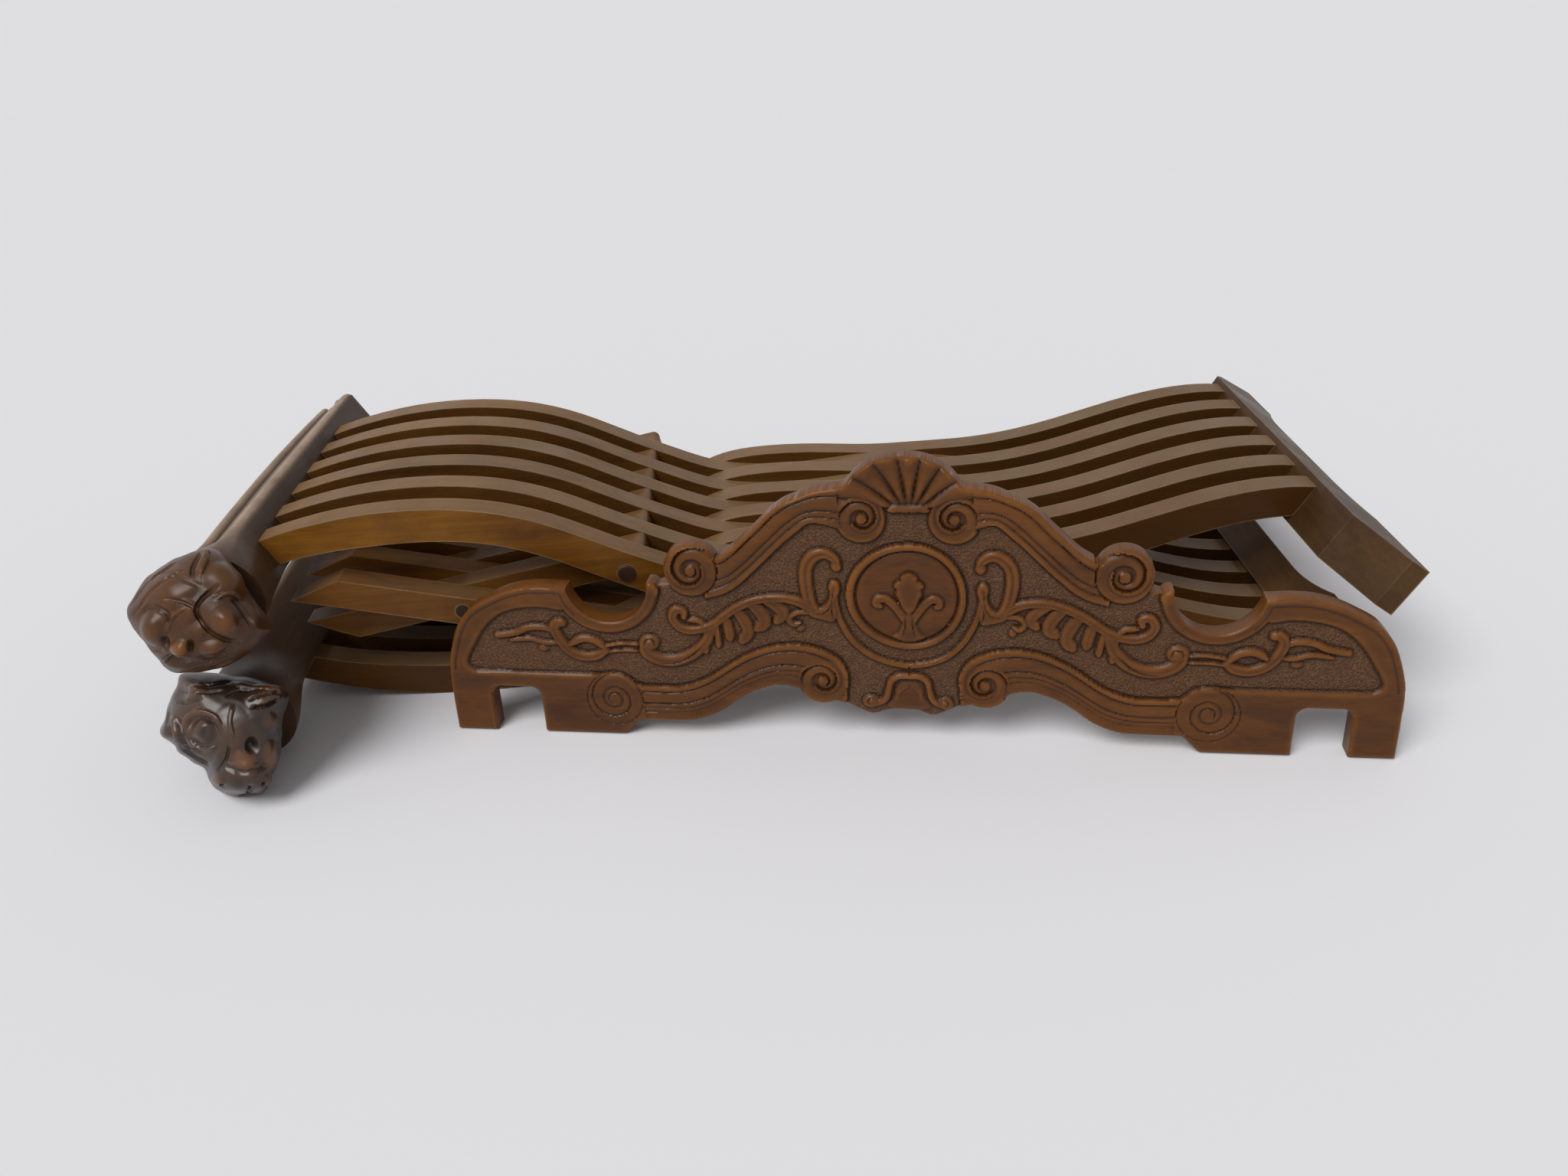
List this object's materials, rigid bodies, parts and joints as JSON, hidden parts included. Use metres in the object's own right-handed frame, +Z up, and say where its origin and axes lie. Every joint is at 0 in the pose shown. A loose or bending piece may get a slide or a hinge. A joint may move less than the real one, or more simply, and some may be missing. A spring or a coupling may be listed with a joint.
{
  "type": "savonarola chair",
  "caption": "Folding armchair of interleaved S-shaped wooden slats with lion-head arms, folded flat, its carved back panel lifted off and leaning in front.",
  "frame": {"origin": "centre of the bottom of the box around the folded chair and its panel", "axes": "+X from the arms to the feet, along the folded chair; +Y from its front to its back; +Z up"},
  "size_m": [0.8938, 0.4332, 0.2213],
  "materials": {
    "slat_wood": "satin",
    "seat_wood": "satin",
    "arm_wood": "gloss",
    "foot_wood": "satin",
    "dowel_wood": "satin",
    "panel_wood": "satin"
  },
  "bodies": {
    "frame_a": {"slat_a1": "slat_wood", "slat_a2": "slat_wood", "slat_a3": "slat_wood", "slat_a4": "slat_wood", "slat_a5": "slat_wood", "slat_a6": "slat_wood", "arm_rail_a": "arm_wood", "foot_rail_a": "foot_wood", "seat_dowel_a": "dowel_wood"},
    "frame_b": {"slat_b1": "slat_wood", "slat_b2": "slat_wood", "slat_b3": "slat_wood", "slat_b4": "slat_wood", "slat_b5": "slat_wood", "slat_b6": "slat_wood", "arm_rail_b": "arm_wood", "foot_rail_b": "foot_wood", "seat_dowel_b": "dowel_wood", "pivot_rod": "dowel_wood"},
    "seat_a": {"seat_slat_a1": "seat_wood", "seat_slat_a2": "seat_wood", "seat_slat_a3": "seat_wood", "seat_slat_a4": "seat_wood", "seat_slat_a5": "seat_wood", "seat_slat_a6": "seat_wood"},
    "seat_b": {"seat_slat_b1": "seat_wood", "seat_slat_b2": "seat_wood", "seat_slat_b3": "seat_wood", "seat_slat_b4": "seat_wood", "seat_slat_b5": "seat_wood", "seat_slat_b6": "seat_wood", "middle_dowel": "dowel_wood"},
    "back_panel": {"back_panel": "panel_wood"}
  },
  "joints": [
    {"name": "fold", "type": "hinge", "parent": "frame_a", "child": "frame_b", "pos_m": [0.09012, 0.05189, 0.0773], "axis": [0, -1, 0], "range_deg": [0, 62]},
    {"name": "seat_a_hinge", "type": "hinge", "parent": "frame_a", "child": "seat_a", "pos_m": [-0.11514, 0.05189, 0.10949], "axis": [0, -1, 0], "range_deg": [0, 108.96]},
    {"name": "seat_b_hinge", "type": "hinge", "parent": "frame_b", "child": "seat_b", "pos_m": [-0.1165, 0.05189, 0.0555], "axis": [0, 1, 0], "range_deg": [0, 108.96]},
    {"name": "panel_lift", "type": "slide", "parent": "frame_a", "child": "back_panel", "axis": [0, -0.7071, 0.7071], "range_m": [0, 0.35]}
  ],
  "couplings": [
    {"joint": "seat_a_hinge", "follows": "fold", "ratio": 1.7571},
    {"joint": "seat_b_hinge", "follows": "fold", "ratio": 1.7571}
  ]
}
